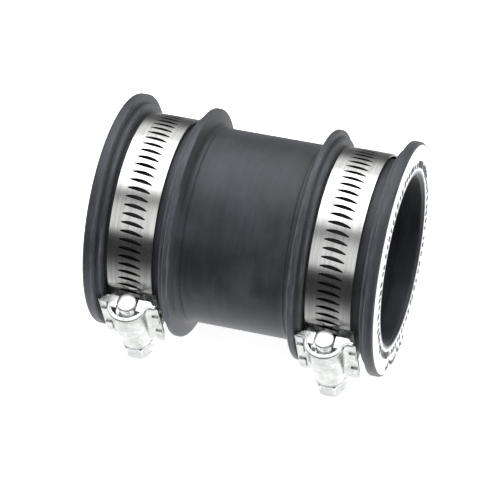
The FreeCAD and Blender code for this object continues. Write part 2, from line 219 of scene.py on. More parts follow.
def end_face_ink(settings):
    """White marking ink, pad printed: opaque and a little uneven over the rubber grain.

    It turns grey within about 0.8 mm of the mouth.
    """
    material, tree = new_material("white_marking_ink")
    plain = pipe_coordinates(tree)
    # the print is speckled at 1.1 mm, and its gloss changes over 8 mm
    speckle = add_node(
        tree, NOISE, {"Vector": plain, "Scale": 0.9 / MM, "Detail": 4.0, "Roughness": 0.7})
    wide = add_node(
        tree, NOISE, {"Vector": plain, "Scale": 0.12 / MM, "Detail": 3.0, "Roughness": 0.5})

    # distance from the edge of the mouth in millimetres, made ragged by the speckle
    flat = add_node(tree, "ShaderNodeMapping", {"Vector": plain, "Scale": (0.0, 1.0, 1.0)})
    radius = add_node(tree, "ShaderNodeVectorMath", {0: flat}, output="Value", operation="LENGTH")
    edge = settings.bore_radius + settings.mouth_chamfer
    away = add_node(tree, MATH, {0: radius, 1: edge}, operation="SUBTRACT")
    away = add_node(tree, MATH, {0: away, 1: MM}, operation="DIVIDE")
    ragged = add_node(tree, MATH, {0: speckle, 1: 0.25, 2: away}, operation="MULTIPLY_ADD")

    faint = add_node(tree, RAMP, {"Fac": speckle}, stops=((0.60, 0.0), (0.78, 0.6)))
    white, pale, grey = rgba(settings.ink_colour), linear("#c9ccd2"), linear("#8f949c")
    colour = add_node(tree, MIX, {0: faint, 6: white, 7: pale}, **COLOUR_MIX)
    grey_rim = add_node(tree, RAMP, {"Fac": ragged}, stops=((0.75, 1.0), (1.0, 0.0)))
    colour = add_node(tree, MIX, {0: grey_rim, 6: colour, 7: grey}, **COLOUR_MIX)
    rough = add_node(tree, MATH, {0: wide, 1: 0.2, 2: 0.42}, operation="MULTIPLY_ADD")
    normal = add_node(tree, BUMP, {"Height": speckle, "Distance": 0.04 * MM, "Strength": 0.4})
    return finish_material(
        material, {"Base Color": colour, "Roughness": rough, "Normal": normal, "IOR": 1.5})


def uneven_metal(tree, pattern, stops, light, dark, spread, rough):
    """Colour and roughness of a metal that both follow one pattern.

    The colour goes from light to dark over the stops, and the roughness is
    rough + spread * pattern.
    """
    factor = add_node(tree, RAMP, {"Fac": pattern}, stops=stops)
    colour = add_node(tree, MIX, {0: factor, 6: light, 7: dark}, **COLOUR_MIX)
    return colour, add_node(tree, MATH, {0: pattern, 1: spread, 2: rough}, operation="MULTIPLY_ADD")


def rolled_stainless(settings):
    """Stainless steel strip, cold rolled: bright, with fine lines along the strip.

    The lines run round the band and blur its reflections a little across the width.
    """
    material, tree = new_material("stainless_strip_cold_rolled")
    # rolling lines, about 0.02 mm, are too fine to show and are drawn at 0.11 mm
    lines = add_node(
        tree, NOISE,
        {"Vector": pipe_coordinates(tree, 0.012), "Scale": 9.0 / MM, "Detail": 3.0, "Roughness": 0.6})
    # streaks are 0.8 mm wide and about 15 mm long, and smudges of oil are 6 mm
    streaks = add_node(
        tree, NOISE,
        {"Vector": pipe_coordinates(tree, 0.05), "Scale": 1.3 / MM, "Detail": 3.0, "Roughness": 0.6})
    smudge = add_node(
        tree, NOISE,
        {"Vector": pipe_coordinates(tree), "Scale": 0.16 / MM, "Detail": 4.0, "Roughness": 0.6})
    colour, rough = uneven_metal(
        tree, streaks, ((0.35, 0.0), (0.8, 0.7)), rgba(settings.band_colour), linear("#a4a4a6"),
        0.10, settings.band_roughness)
    rough = add_node(tree, MATH, {0: smudge, 1: 0.08, 2: rough}, operation="MULTIPLY_ADD")
    fine = add_node(tree, BUMP, {"Height": lines, "Distance": 0.012 * MM, "Strength": 0.35})
    normal = add_node(
        tree, BUMP, {"Height": smudge, "Distance": 0.3 * MM, "Strength": 0.06, "Normal": fine})
    return finish_material(
        material, {"Base Color": colour, "Roughness": rough, "Normal": normal, "Metallic": 1.0})


def shaded_slot_stainless():
    """Stainless steel of the slot walls: dull as the punch left it, and painted near-black as painted
    shade inside the slots.
    """
    material, tree = new_material("stainless_slot_wall_painted_shade")
    # tear marks, about 0.05 mm, are too fine to show and are drawn at 0.19 mm
    tears = add_node(
        tree, NOISE,
        {"Vector": pipe_coordinates(tree), "Scale": 5.2 / MM, "Detail": 3.0, "Roughness": 0.6})
    # near-black colours: painted shade inside the slots
    colour, rough = uneven_metal(
        tree, tears, ((0.0, 0.0), (1.0, 1.0)), linear("#2c2c2e"), linear("#4c4c4f"), 0.2, 0.38)
    normal = add_node(tree, BUMP, {"Height": tears, "Distance": 0.03 * MM, "Strength": 0.4})
    return finish_material(
        material, {"Base Color": colour, "Roughness": rough, "Normal": normal, "Metallic": 1.0})


def pressed_stainless(settings):
    """Stainless steel sheet, pressed and barrel tumbled: bright with soft mottling."""
    material, tree = new_material("stainless_sheet_pressed")
    plain = pipe_coordinates(tree)
    # tumbling leaves 2.4 mm mottling and dents of 0.7 mm
    mottle = add_node(
        tree, NOISE, {"Vector": plain, "Scale": 0.42 / MM, "Detail": 4.0, "Roughness": 0.65})
    dents = add_node(
        tree, NOISE, {"Vector": plain, "Scale": 1.5 / MM, "Detail": 3.0, "Roughness": 0.6})
    colour, rough = uneven_metal(
        tree, mottle, ((0.35, 0.0), (0.75, 0.8)), rgba(settings.housing_colour), linear("#a9abaa"),
        0.16, settings.housing_roughness)
    soft = add_node(tree, BUMP, {"Height": mottle, "Distance": 0.18 * MM, "Strength": 0.30})
    normal = add_node(
        tree, BUMP, {"Height": dents, "Distance": 0.03 * MM, "Strength": 0.4, "Normal": soft})
    return finish_material(
        material, {"Base Color": colour, "Roughness": rough, "Normal": normal, "Metallic": 1.0})


def plated_steel(settings):
    """Carbon steel screw, zinc plated: bright, slightly cool and finely uneven."""
    material, tree = new_material("steel_zinc_plated")
    plain = pipe_coordinates(tree)
    # the plating is cloudy over 1.5 mm; its 0.03 mm grain is too fine to show and is drawn at 0.3 mm
    mottle = add_node(
        tree, NOISE, {"Vector": plain, "Scale": 0.65 / MM, "Detail": 4.0, "Roughness": 0.6})
    grain = add_node(
        tree, NOISE, {"Vector": plain, "Scale": 3.2 / MM, "Detail": 2.0, "Roughness": 0.5})
    colour, rough = uneven_metal(
        tree, mottle, ((0.4, 0.0), (0.75, 0.7)), rgba(settings.screw_colour), linear("#aeb0b3"),
        0.14, settings.screw_roughness)
    soft = add_node(tree, BUMP, {"Height": mottle, "Distance": 0.1 * MM, "Strength": 0.25})
    normal = add_node(
        tree, BUMP, {"Height": grain, "Distance": 0.02 * MM, "Strength": 0.4, "Normal": soft})
    return finish_material(
        material, {"Base Color": colour, "Roughness": rough, "Normal": normal, "Metallic": 1.0})


def lit_acrylic(settings):
    """White acrylic table, lit from beneath: a bright matt sheet that fills in the shadows."""
    material, tree = new_material("white_acrylic_backlit")
    # the matt face is etched at about 0.1 mm, too fine to show, and is drawn at 1.7 mm
    cloud = add_node(
        tree, NOISE,
        {"Vector": pipe_coordinates(tree), "Scale": 0.6 / MM, "Detail": 3.0, "Roughness": 0.6})
    faint = add_node(tree, MATH, {0: cloud, 1: 0.06}, operation="MULTIPLY")
    white, grey = rgba(settings.floor_colour), linear("#e4e4e2")
    colour = add_node(tree, MIX, {0: faint, 6: white, 7: grey}, **COLOUR_MIX)
    normal = add_node(tree, BUMP, {"Height": cloud, "Distance": 0.02 * MM, "Strength": 0.2})
    return finish_material(material, {
        "Base Color": colour, "Roughness": 0.9, "Normal": normal, "IOR": 1.49,
        "Specular IOR Level": 0.2, "Emission Color": linear("#ffffff"),
        "Emission Strength": settings.table_glow})


# ---------------------------------------------------------------- surfaces

def rounded_profile(corners, steps=7):
    """Closed profile with arcs at its corners, as an (n, 2) array.

    corners is (x, r, radius). At each corner the arc starts and ends where the
    circle of that radius touches both sides: setback = radius / tan(half the angle),
    and the centre lies on the bisector at radius / sin(half the angle).
    """
    data = np.array(corners, dtype=float)
    point = data[:, :2]
    radius = data[:, 2]
    back = np.roll(point, 1, axis=0) - point
    ahead = np.roll(point, -1, axis=0) - point
    back /= np.linalg.norm(back, axis=1, keepdims=True)
    ahead /= np.linalg.norm(ahead, axis=1, keepdims=True)
    half = np.arccos(np.clip((back * ahead).sum(axis=1), -1, 1)) / 2.0
    middle = back + ahead
    middle /= np.linalg.norm(middle, axis=1, keepdims=True)
    centre = point + middle * (radius / np.sin(half))[:, None]
    start = point + back * (radius / np.tan(half))[:, None] - centre
    turn = np.arctan2(
        (back[:, 0] * ahead[:, 1] - back[:, 1] * ahead[:, 0]), (back * ahead).sum(axis=1))
    sweep = -np.sign(turn) * (math.pi - np.abs(turn))
    angle = sweep[:, None] * np.linspace(0.0, 1.0, steps)[None, :]
    cos, sin = np.cos(angle), np.sin(angle)
    arc_x = centre[:, 0, None] + cos * start[:, 0, None] - sin * start[:, 1, None]
    arc_r = centre[:, 1, None] + sin * start[:, 0, None] + cos * start[:, 1, None]
    line = np.stack([arc_x, arc_r], axis=2).reshape(-1, 2)
    step = np.linalg.norm(line - np.roll(line, 1, axis=0), axis=1)
    return line[step > 1e-6]


def densify(line, longest):
    """Closed line with its long sides divided so that no step is over longest."""
    ahead = np.roll(line, -1, axis=0) - line
    length = np.linalg.norm(ahead, axis=1)
    count = np.maximum(1, np.ceil(length / longest)).astype(int)
    owner = np.repeat(np.arange(len(line)), count)
    first = np.repeat(np.cumsum(count) - count, count)
    fraction = (np.arange(count.sum()) - first) / count[owner]
    return line[owner] + ahead[owner] * fraction[:, None]


def lathe(line, segments):
    """Surface of a closed (x, r) line turned about X: (x, -r sin a, r cos a)."""
    angle = np.linspace(0.0, 2.0 * math.pi, segments, endpoint=False)
    x = np.broadcast_to(line[None, :, 0], (segments, len(line)))
    y = -np.sin(angle)[:, None] * line[None, :, 1]
    z = np.cos(angle)[:, None] * line[None, :, 1]
    return np.stack([x, y, z], axis=2)


def grid_faces(rows, columns):
    """Quads of a grid that is closed both ways."""
    i, j = np.meshgrid(np.arange(rows), np.arange(columns), indexing="ij")
    i2, j2 = (i + 1) % rows, (j + 1) % columns
    here, there = i * columns, i2 * columns
    return np.stack([here + j, here + j2, there + j2, there + j], axis=2).reshape(-1, 4)


def mesh_object(name, points, faces, material):
    """Object at the origin from whole arrays of points and polygon corners."""
    mesh = bpy.data.meshes.new(name)
    mesh.from_pydata(points.reshape(-1, 3).tolist(), [], [list(f) for f in faces])
    mesh.materials.append(material)
    mesh.update()
    piece = bpy.data.objects.new(name, mesh)
    bpy.context.scene.collection.objects.link(piece)
    return piece


def face_outwards(piece):
    """Turns an inside-out closed mesh round.

    Its volume has the sign of the sum of centre . normal * area over the faces.
    """
    mesh = piece.data
    count = len(mesh.polygons)
    centre = np.empty(count * 3)
    normal = np.empty(count * 3)
    area = np.empty(count)
    mesh.polygons.foreach_get("center", centre)
    mesh.polygons.foreach_get("normal", normal)
    mesh.polygons.foreach_get("area", area)
    if ((centre * normal).reshape(-1, 3).sum(axis=1) * area).sum() < 0:
        mesh.flip_normals()


def smooth_by_angle(piece, degrees):
    """Smooth shading, kept sharp where faces meet at more than the angle."""
    mesh = piece.data
    mesh.polygons.foreach_set("use_smooth", np.ones(len(mesh.polygons), dtype=bool))
    mesh.set_sharp_from_angle(angle=math.radians(degrees))


def sleeve_corners(s):
    """(x, r, corner radius) of one half of the sleeve outside, from the mouth inwards."""
    half = s.length / 2.0
    flange_in = half - s.flange_width
    rib_out = s.seat_inner - s.lip_width
    rib_in = rib_out - s.rib_width
    bead = rib_in - BEAD_GAP
    return [
        (half, s.bore_radius + s.mouth_chamfer, 0.12 * MM),
        (half, s.flange_radius, 0.90 * MM),
        (flange_in, s.flange_radius, 0.45 * MM),
        (flange_in, s.lip_radius, 0.30 * MM),
        (s.seat_outer, s.lip_radius, 0.30 * MM),
        (s.seat_outer, s.seat_radius, 0.30 * MM),
        (s.seat_inner, s.seat_radius, 0.30 * MM),
        (s.seat_inner, s.lip_radius, 0.40 * MM),
        (rib_out, s.lip_radius, 0.40 * MM),
        (rib_out, s.rib_radius, 0.50 * MM),
        (rib_in, s.rib_radius, 0.50 * MM),
        (rib_in - SKIRT, s.body_radius, 1.60 * MM),
        (bead + BEAD_HALF, s.body_radius, 0.0),
        (bead, s.body_radius + BEAD_HEIGHT, 0.0),
        (bead - BEAD_HALF, s.body_radius, 0.0),
    ]


def sleeve_line(s):
    """Closed (x, r) line of the whole sleeve section, and its pale edge weight, 1 on a convex edge.

    The weight stands for scuffing and for a painted highlight on the edges that stand proud.
    It falls off with the distance d to the nearest convex corner as exp(-(d / reach) squared),
    the reach being the width of the pale zone.
    """
    half = s.length / 2.0
    land_in = half - LAND_WIDTH
    outer = sleeve_corners(s)
    mirrored = [(-x, r, f) for x, r, f in reversed(outer)]
    bore = [
        (half - s.mouth_chamfer, s.bore_radius, 0.25 * MM),
        (land_in, s.bore_radius, 0.15 * MM),
        (land_in - RELIEF, s.bore_radius + RELIEF, 0.30 * MM),
    ]
    inner = [(-x, r, f) for x, r, f in bore] + list(reversed(bore))
    line = densify(rounded_profile(outer + mirrored + inner), SLEEVE_STEP)
    # flange, both lips and rib: the corners that stand proud
    convex = np.array([outer[i][:2] for i in (1, 2, 4, 7, 9, 10)])
    convex = np.concatenate([convex, convex * np.array([-1.0, 1.0])])
    away = np.linalg.norm(line[:, None, :] - convex[None, :, :], axis=2).min(axis=1)
    return line, np.exp(-(away / WEAR_AND_HIGHLIGHT_REACH) ** 2)


def ink_line(s, side):
    """Closed (x, r) line of the printed ring on one end face, side being -1 or 1."""
    face = s.length / 2.0
    low = s.bore_radius + s.mouth_chamfer + INK_MARGIN
    high = s.flange_radius - 0.55 * MM
    corners = np.array([
        (face - INK_ROOT, low), (face + INK_RISE, low), (face + INK_RISE, high - 0.35 * MM),
        (face - 0.10 * MM, high), (face - INK_ROOT, high)])
    corners[:, 0] *= side
    return densify(corners, INK_STEP)


def face_marks(s, side):
    """Boxes of the raised marks on one end face, as corner and polygon arrays.

    Each mark is a box in polar measure: middle angle, middle radius, arc width and
    radial height, tapering to MARK_TAPER of its width at the top. There is a ring of
    dashes, two groups of blocks on it, and a short row of dots outside it.
    """
    rng = np.random.default_rng(7)
    dash_angle = np.radians(np.arange(DASHES) * 360.0 / DASHES + rng.uniform(-0.8, 0.8, DASHES))
    dash_radius = DASH_RADIUS + rng.uniform(-0.3, 0.3, DASHES) * MM
    dash_width = rng.uniform(1.0, 1.8, DASHES) * MM
    dash_height = rng.uniform(1.3, 2.3, DASHES) * MM
    block_angle = np.radians(
        [-57, -54, -51, -47, -43, -38, 122, 125.5, 129, 132, 141, 145, 149.5])
    block_width = np.array([1.5, 0.8, 1.0, 0.6, 1.3, 1.0, 1.1, 1.0, 1.2, 0.7, 1.2, 1.5, 0.9]) * MM
    blocks = len(block_angle)
    dot_angle = np.radians(np.arange(-97.0, -59.0, 3.1))
    dots = len(dot_angle)
    dot_radius = DOT_RADIUS + rng.uniform(-1, 1, dots) * MM
    dot_width = rng.uniform(0.6, 1.2, dots) * MM
    dot_height = rng.uniform(0.8, 1.8, dots) * MM
    angle = np.concatenate([dash_angle, block_angle, dot_angle])
    radius = np.concatenate([dash_radius, np.full(blocks, BLOCK_RADIUS), dot_radius])
    width = np.concatenate([dash_width, block_width, dot_width])
    height = np.concatenate([dash_height, np.full(blocks, BLOCK_HEIGHT), dot_height])

    # the box: four corners in the rubber, then four smaller ones on top
    face = s.length / 2.0
    shrink = np.repeat([1.0, MARK_TAPER], 4)
    u = np.tile([-1, 1, 1, -1], 2) * shrink
    v = np.tile([-1, -1, 1, 1], 2) * shrink
    x = face + np.repeat([-MARK_ROOT, MARK_RISE], 4)
    theta = angle[:, None] + u[None, :] * (width / radius)[:, None] / 2.0
    r = radius[:, None] + v[None, :] * height[:, None] / 2.0
    points = np.stack([
        np.broadcast_to(side * x, r.shape), -r * np.cos(theta), r * np.sin(theta)], axis=2)
    box = np.array([
        (0, 3, 2, 1), (4, 5, 6, 7), (0, 1, 5, 4), (1, 2, 6, 5), (2, 3, 7, 6), (3, 0, 4, 7)])
    faces = (np.arange(len(angle)) * 8)[:, None, None] + box[None, :, :]
    return points, faces.reshape(-1, 4)


def mouth_path(c):
    """Line of the rolled lip across the screw, as (x, w), with its outward normals.

    w is measured out from the screw axis. The line runs along one foot, up a quarter
    circle, over an arch through three points and down again, all as arcs of angle.
    """
    outer = c.mouth_radius + c.sheet
    fillet = c.foot_fillet
    rise = c.foot_top + fillet
    # circle through (outer, rise) and (0, outer), with its middle on x = 0
    middle = rise * rise / (2.0 * (rise - outer))
    span = outer - middle
    start = math.atan2(rise - middle, outer)
    turn = np.linspace(-math.pi / 2.0, 0.0, FILLET_STEPS)
    foot_x = np.linspace(-c.foot_half + FOOT_END, -outer - fillet, FOOT_STEPS, endpoint=False)
    foot = np.stack([foot_x, np.full(len(foot_x), c.foot_top)], axis=1)
    left = np.stack([-outer - fillet + fillet * np.cos(turn), rise + fillet * np.sin(turn)], axis=1)
    arch_turn = np.linspace(math.pi - start, start, ARCH_STEPS)[1:-1]
    arch = np.stack([span * np.cos(arch_turn), middle + span * np.sin(arch_turn)], axis=1)
    half = np.concatenate([foot, left])
    line = np.concatenate([half, arch, half[::-1] * np.array([-1.0, 1.0])])
    along = np.gradient(line, axis=0)
    along /= np.linalg.norm(along, axis=1, keepdims=True)
    return line, np.stack([-along[:, 1], along[:, 0]], axis=1)


def screw_axes(drop):
    """Axes at one screw: along the pipe, out from the pipe, and towards the screw head."""
    cos, sin = math.cos(drop), math.sin(drop)
    return np.array([1.0, 0.0, 0.0]), np.array([0.0, -cos, -sin]), np.array([0.0, sin, -cos])


def mouth_lip(c, clamp_x, drop):
    """Rolled lip round the mouth of one housing: a round bar swept along mouth_path.

    At each step the section is centre + radius (cos b N + sin b T), with N the outward
    normal and T the screw direction; the bar tapers to a rounded end on each foot.
    """
    line, normal = mouth_path(c)
    steps, sides = len(line), LIP_SIDES
    centre = line - normal * c.lip_sink
    along = np.abs(np.linspace(-1.0, 1.0, steps))
    taper = np.sqrt(np.clip(1.0 - along ** LIP_TAPER, 0.02, 1.0))
    turn = np.linspace(0.0, 2.0 * math.pi, sides, endpoint=False)
    thick = c.lip_bar * taper
    across = centre[:, None, :] + normal[:, None, :] * (thick[:, None] * np.cos(turn))[:, :, None]
    t = c.housing_front + 0.8 * c.lip_bar + thick[:, None] * np.sin(turn)
    x_axis, out, head = screw_axes(drop)
    points = ((clamp_x + across[:, :, :1]) * x_axis
              + (c.screw_offset + across[:, :, 1:]) * out + t[:, :, None] * head)
    i, j = np.meshgrid(np.arange(steps - 1), np.arange(sides), indexing="ij")
    j2 = (j + 1) % sides
    here, there = i * sides, (i + 1) * sides
    quads = np.stack([here + j, here + j2, there + j2, there + j], axis=2)
    ends = [list(range(sides))[::-1], list(range((steps - 1) * sides, steps * sides))]
    return points, quads.reshape(-1, 4).tolist() + ends


def screw_tip(c, clamp_x, drop):
    """Swaged tip of one screw: a button turned about the screw axis, closed at both poles.

    Its section is the curve (t / h)^4 + (r / R)^4 = 1, drawn as r = R sqrt(sin b) and
    t = -h sqrt(cos b) with the sign of cos b.
    """
    rings, sides = TIP_RINGS, TIP_SIDES
    b = np.linspace(0.0, math.pi, rings + 2)[1:-1]
    radius = c.tip_radius * np.sqrt(np.sin(b))
    t = c.tip_middle - c.tip_half * np.sign(np.cos(b)) * np.sqrt(np.abs(np.cos(b)))
    turn = np.linspace(0.0, 2.0 * math.pi, sides, endpoint=False)
    x_axis, out, head = screw_axes(drop)
    middle = x_axis * clamp_x + out * c.screw_offset
    spoke = np.cos(turn)[:, None] * x_axis + np.sin(turn)[:, None] * out
    body = middle + t[:, None, None] * head + radius[:, None, None] * spoke[None, :, :]
    poles = middle + np.array([[c.tip_middle - c.tip_half], [c.tip_middle + c.tip_half]]) * head
    points = np.concatenate([body.reshape(-1, 3), poles])
    i, j = np.meshgrid(np.arange(rings - 1), np.arange(sides), indexing="ij")
    j2 = (j + 1) % sides
    here, there = i * sides, (i + 1) * sides
    quads = np.stack([here + j, there + j, there + j2, here + j2], axis=2)
    k = np.arange(sides)
    k2 = (k + 1) % sides
    last = (rings - 1) * sides
    front = np.stack([np.full(sides, rings * sides), k, k2], axis=1)
    back = np.stack([np.full(sides, rings * sides + 1), last + k2, last + k], axis=1)
    return points, quads.reshape(-1, 4).tolist() + front.tolist() + back.tolist()


# ---------------------------------------------------------------- settings

class CouplingSleeveSettings(bpy.types.PropertyGroup):
    """Sizes and colours of the rubber sleeve."""

    length: FloatProperty(
        name="Length", description="Overall length of the sleeve",
        default=82.3 * MM, unit="LENGTH")
    bore_radius: FloatProperty(
        name="Bore radius", description="Radius of the sealing lands",
        default=23.5 * MM, unit="LENGTH")
    mouth_chamfer: FloatProperty(
        name="Mouth chamfer", description="Width of the chamfer round each mouth",
        default=0.8 * MM, unit="LENGTH")
    body_radius: FloatProperty(
        name="Body radius", description="Radius of the plain middle",
        default=27.55 * MM, unit="LENGTH")
    flange_radius: FloatProperty(
        name="Flange radius", description="Radius of the end flanges",
        default=33.0 * MM, unit="LENGTH")
    flange_width: FloatProperty(
        name="Flange width", description="Width of each tall end flange",
        default=2.9 * MM, unit="LENGTH")
    rib_radius: FloatProperty(
        name="Rib radius", description="Radius of the tall ribs beside the body",
        default=32.5 * MM, unit="LENGTH")
    rib_width: FloatProperty(
        name="Rib width", description="Width of each tall rib at its top",
        default=1.7 * MM, unit="LENGTH")
    lip_radius: FloatProperty(
        name="Lip radius", description="Radius of the low lips beside each band",
        default=30.5 * MM, unit="LENGTH")
    lip_width: FloatProperty(
        name="Lip width", description="Width of the low lip on each rib",
        default=1.55 * MM, unit="LENGTH")
    seat_radius: FloatProperty(
        name="Seat radius", description="Radius of the clamp seats",
        default=27.0 * MM, unit="LENGTH")
    seat_inner: FloatProperty(
        name="Seat inner wall", description="Distance from the middle to the near wall of each seat",
        default=20.1 * MM, unit="LENGTH")
    seat_outer: FloatProperty(
        name="Seat outer wall", description="Distance from the middle to the far wall of each seat",
        default=36.7 * MM, unit="LENGTH")
    rubber_colour: FloatVectorProperty(
        name="Rubber", description="Colour of clean rubber",
        subtype="COLOR", default=linear("#19191b")[:3])
    bloom_colour: FloatVectorProperty(
        name="Bloom", description="Colour where the rubber is dusty",
        subtype="COLOR", default=linear("#34373e")[:3])
    # paler colour of the convex edges: scuffed rubber and a painted highlight
    scuff_and_highlight_colour: FloatVectorProperty(
        name="Scuff", description="Colour of scuffed rubber on the tall edges",
        subtype="COLOR", default=linear("#747982")[:3])
    rubber_roughness: FloatProperty(
        name="Roughness", description="Roughness of the moulded skin",
        default=0.42, subtype="FACTOR")
    ink_colour: FloatVectorProperty(
        name="Ink", description="Colour of the print on the end faces",
        subtype="COLOR", default=linear("#f3f4f5")[:3])


class CouplingClampSettings(bpy.types.PropertyGroup):
    """Colours, finish and edge rounding of the clamps."""

    band_colour: FloatVectorProperty(
        name="Band", description="Colour of the rolled strip",
        subtype="COLOR", default=linear("#e9e9e7")[:3])
    band_roughness: FloatProperty(
        name="Band roughness", description="Roughness of the rolled strip",
        default=0.10, subtype="FACTOR")
    housing_colour: FloatVectorProperty(
        name="Housing", description="Colour of the pressed sheet",
        subtype="COLOR", default=linear("#e6e8e6")[:3])
    housing_roughness: FloatProperty(
        name="Housing roughness", description="Roughness of the pressed sheet",
        default=0.20, subtype="FACTOR")
    screw_colour: FloatVectorProperty(
        name="Screw", description="Colour of the plated screw",
        subtype="COLOR", default=linear("#f2f3f4")[:3])
    screw_roughness: FloatProperty(
        name="Screw roughness", description="Roughness of the plating",
        default=0.22, subtype="FACTOR")
    edge_round: FloatProperty(
        name="Edge rounding", description="Radius worn on the sheet edges",
        default=0.12 * MM, unit="LENGTH")
    clamp_left: FloatProperty(
        name="Left clamp", description="Place of the left clamp along the pipe axis",
        default=-29.0 * MM, unit="LENGTH")
    clamp_right: FloatProperty(
        name="Right clamp", description="Place of the right clamp along the pipe axis",
        default=27.4 * MM, unit="LENGTH")
    drop_left: FloatProperty(
        name="Left drop", description="Angle of the left screw below level",
        default=math.radians(23.9), subtype="ANGLE")
    drop_right: FloatProperty(
        name="Right drop", description="Angle of the right screw below level",
        default=math.radians(22.7), subtype="ANGLE")
    screw_offset: FloatProperty(
        name="Screw offset", description="Distance from the pipe axis to each screw axis",
        default=31.55 * MM, unit="LENGTH")
    housing_front: FloatProperty(
        name="Housing front", description="Place of the mouth along the screw",
        default=-4.1 * MM, unit="LENGTH")
    mouth_radius: FloatProperty(
        name="Mouth radius", description="Inner radius of the housing at its mouth",
        default=4.45 * MM, unit="LENGTH")
    sheet: FloatProperty(
        name="Sheet", description="Thickness of the housing sheet",
        default=0.75 * MM, unit="LENGTH")
    foot_half: FloatProperty(
        name="Foot reach", description="Half the width over the housing feet",
        default=8.6 * MM, unit="LENGTH")
    foot_top: FloatProperty(
        name="Foot top", description="Height of the foot above the screw axis",
        default=-0.2 * MM, unit="LENGTH")
    foot_fillet: FloatProperty(
        name="Foot fillet", description="Radius where each foot turns up into the arch",
        default=1.5 * MM, unit="LENGTH")
    tip_radius: FloatProperty(
        name="Tip radius", description="Radius of the swaged tip of each screw",
        default=2.75 * MM, unit="LENGTH")
    tip_middle: FloatProperty(
        name="Tip place", description="Middle of the swaged tip along the screw",
        default=-4.75 * MM, unit="LENGTH")
    tip_half: FloatProperty(
        name="Tip half height", description="Half the height of the swaged tip",
        default=0.5 * MM, unit="LENGTH")
    lip_bar: FloatProperty(
        name="Lip", description="Radius of the rolled lip round the mouth",
        default=0.56 * MM, unit="LENGTH")
    lip_sink: FloatProperty(
        name="Lip sink", description="Depth of the middle of the lip under the sheet face",
        default=0.08 * MM, unit="LENGTH")


class CouplingStageSettings(bpy.types.PropertyGroup):
    """Floor, lights and camera."""

    floor_colour: FloatVectorProperty(
        name="Floor", description="Colour of the acrylic table",
        subtype="COLOR", default=linear("#fafafa")[:3])
    table_glow: FloatProperty(
        name="Table glow", description="Strength of the light from beneath the table",
        default=0.85, min=0.0)
    azimuth: FloatProperty(
        name="Azimuth", description="Camera angle round the coupling",
        default=math.radians(16.50), subtype="ANGLE")
    elevation: FloatProperty(
        name="Elevation", description="Camera angle above the floor",
        default=math.radians(36.50), subtype="ANGLE")
    roll: FloatProperty(
        name="Roll", description="Turn of the camera about its own line of sight",
        default=math.radians(0.54), subtype="ANGLE")
    distance: FloatProperty(
        name="Distance", description="Camera to the middle of the bore",
        default=0.79464, unit="LENGTH")
    offset_left: FloatProperty(
        name="Offset left", description="Move of the camera to its own left",
        default=2.831 * MM, unit="LENGTH")
    offset_down: FloatProperty(
        name="Offset down", description="Move of the camera down its own frame",
        default=4.571 * MM, unit="LENGTH")
    lens: FloatProperty(
        name="Lens", description="Focal length in millimetres on a 36 mm sensor",
        default=204.96, unit="CAMERA")


# ---------------------------------------------------------------- operators

MERGE_DISTANCE = 0.001 * MM


def merged_copy(node, name, material, degrees=30.0):
    """Copy of a CAD node's mesh with its loose triangles joined, smooth up to an angle."""
    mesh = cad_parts[node].data.copy()
    mesh.name = name
    work = bmesh.new()
    work.from_mesh(mesh)
    bmesh.ops.remove_doubles(work, verts=work.verts, dist=MERGE_DISTANCE)
    bmesh.ops.dissolve_degenerate(work, dist=MERGE_DISTANCE / 10.0, edges=work.edges)
    work.to_mesh(mesh)
    work.free()
    mesh.materials.clear()
    mesh.materials.append(material)
    piece = bpy.data.objects.new(name, mesh)
    bpy.context.scene.collection.objects.link(piece)
    smooth_by_angle(piece, degrees)
    return piece


WALL_LEAN = 0.8               # a wall's normal has less than this of it pointing out
FACE_LEAN = 0.985             # a face's normal has more
RIM_FROM_MIDDLE = 5.0 * MM    # the slots end short of this and the rims stand past it


def strip_normals(piece):
    """Shading normals of a band: straight out from (or in to) the pipe axis on the two faces.

    A corner keeps its own normal where its polygon leans from the radial line. Slot
    walls, which lean far from it, take the second, near-black material, which paints shade
    inside the slots; the two rims keep the first.
    """
    mesh = piece.data
    count = len(mesh.loops)
    points = np.empty(len(mesh.vertices) * 3)
    mesh.vertices.foreach_get("co", points)
    corner = np.empty(count, dtype=np.int64)
    mesh.loops.foreach_get("vertex_index", corner)
    sides = np.empty(len(mesh.polygons), dtype=np.int64)
    mesh.polygons.foreach_get("loop_total", sides)
    facing = np.empty(len(mesh.polygons) * 3)
    mesh.polygons.foreach_get("normal", facing)
    facing = np.repeat(facing.reshape(-1, 3), sides, axis=0)
    current = np.empty(count * 3)
    mesh.corner_normals.foreach_get("vector", current)
    radial = points.reshape(-1, 3)[corner] * np.array([0.0, 1.0, 1.0])
    radial /= np.linalg.norm(radial, axis=1, keepdims=True)
    lean = (radial * facing).sum(axis=1)
    first = np.cumsum(sides) - sides
    place = points.reshape(-1, 3)[corner[first], 0]
    rim = np.abs(place - (place.min() + place.max()) / 2.0) > RIM_FROM_MIDDLE
    wall = (np.abs(lean[first]) < WALL_LEAN) & ~rim
    # slot walls take the near-black second material: painted shade inside the slots
    mesh.polygons.foreach_set("material_index", wall.astype(np.int32))
    flat = (np.abs(lean) > FACE_LEAN)[:, None]
    normals = np.where(flat, radial * np.sign(lean)[:, None], current.reshape(-1, 3))
    mesh.normals_split_custom_set(normals.tolist())


def round_edges(piece, width):
    """Bevel on the sharp edges, so they catch the light."""
    bevel = piece.modifiers.new("edge_round", "BEVEL")
    bevel.width = width
    bevel.segments = 2
    bevel.limit_method = "ANGLE"
    bevel.angle_limit = math.radians(32.0)
    bevel.harden_normals = True


